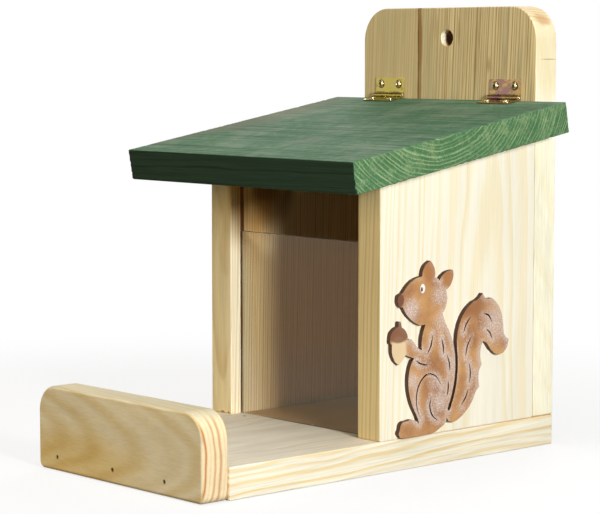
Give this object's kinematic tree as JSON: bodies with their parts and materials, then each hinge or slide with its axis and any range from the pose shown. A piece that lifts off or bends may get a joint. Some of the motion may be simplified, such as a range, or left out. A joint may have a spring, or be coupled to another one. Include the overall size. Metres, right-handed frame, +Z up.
{
  "type": "squirrel feeder box",
  "caption": "Pine squirrel feeder: a box with a clear sliding front and a hinged sloping lid, on a base with a railed tray, and a tall back board to hang it by.",
  "frame": {"origin": "bottom centre of the whole feeder, on the plane it stands on", "axes": "+X to the right seen from the front, +Y from the tray to the back board, +Z up"},
  "size_m": [0.195, 0.273, 0.262],
  "materials": {
    "pine": "planed, untreated, satin",
    "green_stained_pine": "thin green wood stain, matt",
    "brown_plywood": "laser cut, brown stained, matt",
    "clear_acrylic": "clear, glossy",
    "yellow_zinc_steel": "yellow passivated zinc plate",
    "bright_steel": "bright"
  },
  "bodies": {
    "box": {"base_board": "pine", "front_rail": "pine", "back_board": "pine", "left_side_wall": "pine", "right_side_wall": "pine", "squirrel_figure": "brown_plywood", "left_hinge_wall_leaf": "yellow_zinc_steel", "left_hinge_pin": "bright_steel", "left_hinge_wall_screw_1": "yellow_zinc_steel", "left_hinge_wall_screw_2": "yellow_zinc_steel", "right_hinge_wall_leaf": "yellow_zinc_steel", "right_hinge_pin": "bright_steel", "right_hinge_wall_screw_1": "yellow_zinc_steel", "right_hinge_wall_screw_2": "yellow_zinc_steel", "front_rail_nail_1": "bright_steel", "front_rail_nail_2": "bright_steel", "front_rail_nail_3": "bright_steel", "back_board_nail_1": "bright_steel", "back_board_nail_2": "bright_steel", "back_board_nail_3": "bright_steel", "left_wall_base_nail_1": "bright_steel", "left_wall_base_nail_2": "bright_steel", "right_wall_base_nail_1": "bright_steel", "right_wall_base_nail_2": "bright_steel", "left_wall_back_nail_1": "bright_steel", "left_wall_back_nail_2": "bright_steel", "right_wall_back_nail_1": "bright_steel", "right_wall_back_nail_2": "bright_steel"},
    "lid": {"roof_board": "green_stained_pine", "left_hinge_roof_leaf": "yellow_zinc_steel", "left_hinge_roof_screw_1": "yellow_zinc_steel", "left_hinge_roof_screw_2": "yellow_zinc_steel", "right_hinge_roof_leaf": "yellow_zinc_steel", "right_hinge_roof_screw_1": "yellow_zinc_steel", "right_hinge_roof_screw_2": "yellow_zinc_steel"},
    "window": {"front_window": "clear_acrylic"}
  },
  "joints": [
    {"name": "lid_hinge", "type": "hinge", "parent": "box", "child": "lid", "pos_m": [0, 0.11683, 0.20798], "axis": [-1, 0, 0], "range_deg": [0, 92]},
    {"name": "window_slide", "type": "slide", "parent": "box", "child": "window", "axis": [0, 0, 1], "range_m": [0, 0.038]}
  ]
}
